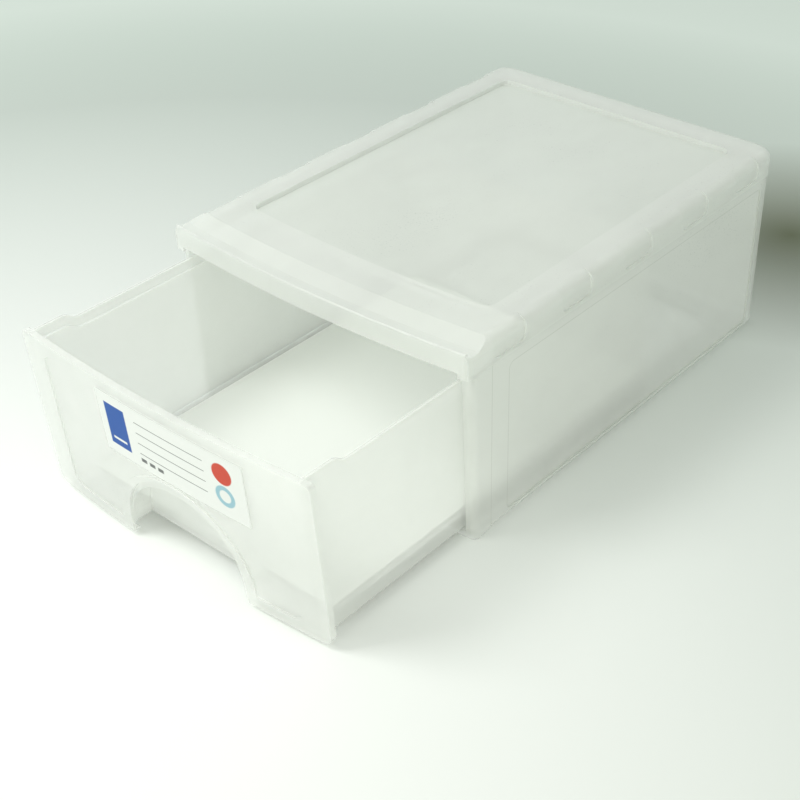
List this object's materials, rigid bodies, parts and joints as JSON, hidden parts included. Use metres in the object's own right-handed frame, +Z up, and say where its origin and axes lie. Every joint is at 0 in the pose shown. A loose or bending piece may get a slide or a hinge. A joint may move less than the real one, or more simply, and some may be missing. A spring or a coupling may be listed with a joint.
{
  "type": "stackable drawer box",
  "caption": "Translucent stacking storage box with a bowed front, a clip-on cover with a recessed top and one deep sliding drawer with an arched finger pull.",
  "frame": {"origin": "centre of the case's underside, on the surface that it stands on; the drawer is not counted", "axes": "+X to the right seen from the front, +Y to the back, so the drawer opens along -Y, and +Z up"},
  "size_m": [0.28, 0.54, 0.16],
  "materials": {
    "case_plastic": "satin translucent moulded polypropylene",
    "cover_plastic": "satin translucent moulded polypropylene",
    "drawer_plastic": "satin translucent moulded polypropylene",
    "label_paper": "coated self-adhesive paper with a plain printed design"
  },
  "bodies": {
    "case": {"case_shell": "case_plastic", "case_cover": "cover_plastic"},
    "drawer": {"drawer": "drawer_plastic", "label": "label_paper"}
  },
  "joints": [
    {"name": "drawer_slide", "type": "slide", "parent": "case", "child": "drawer", "axis": [0, -1, 0], "range_m": [-0.131, 0.12]}
  ]
}
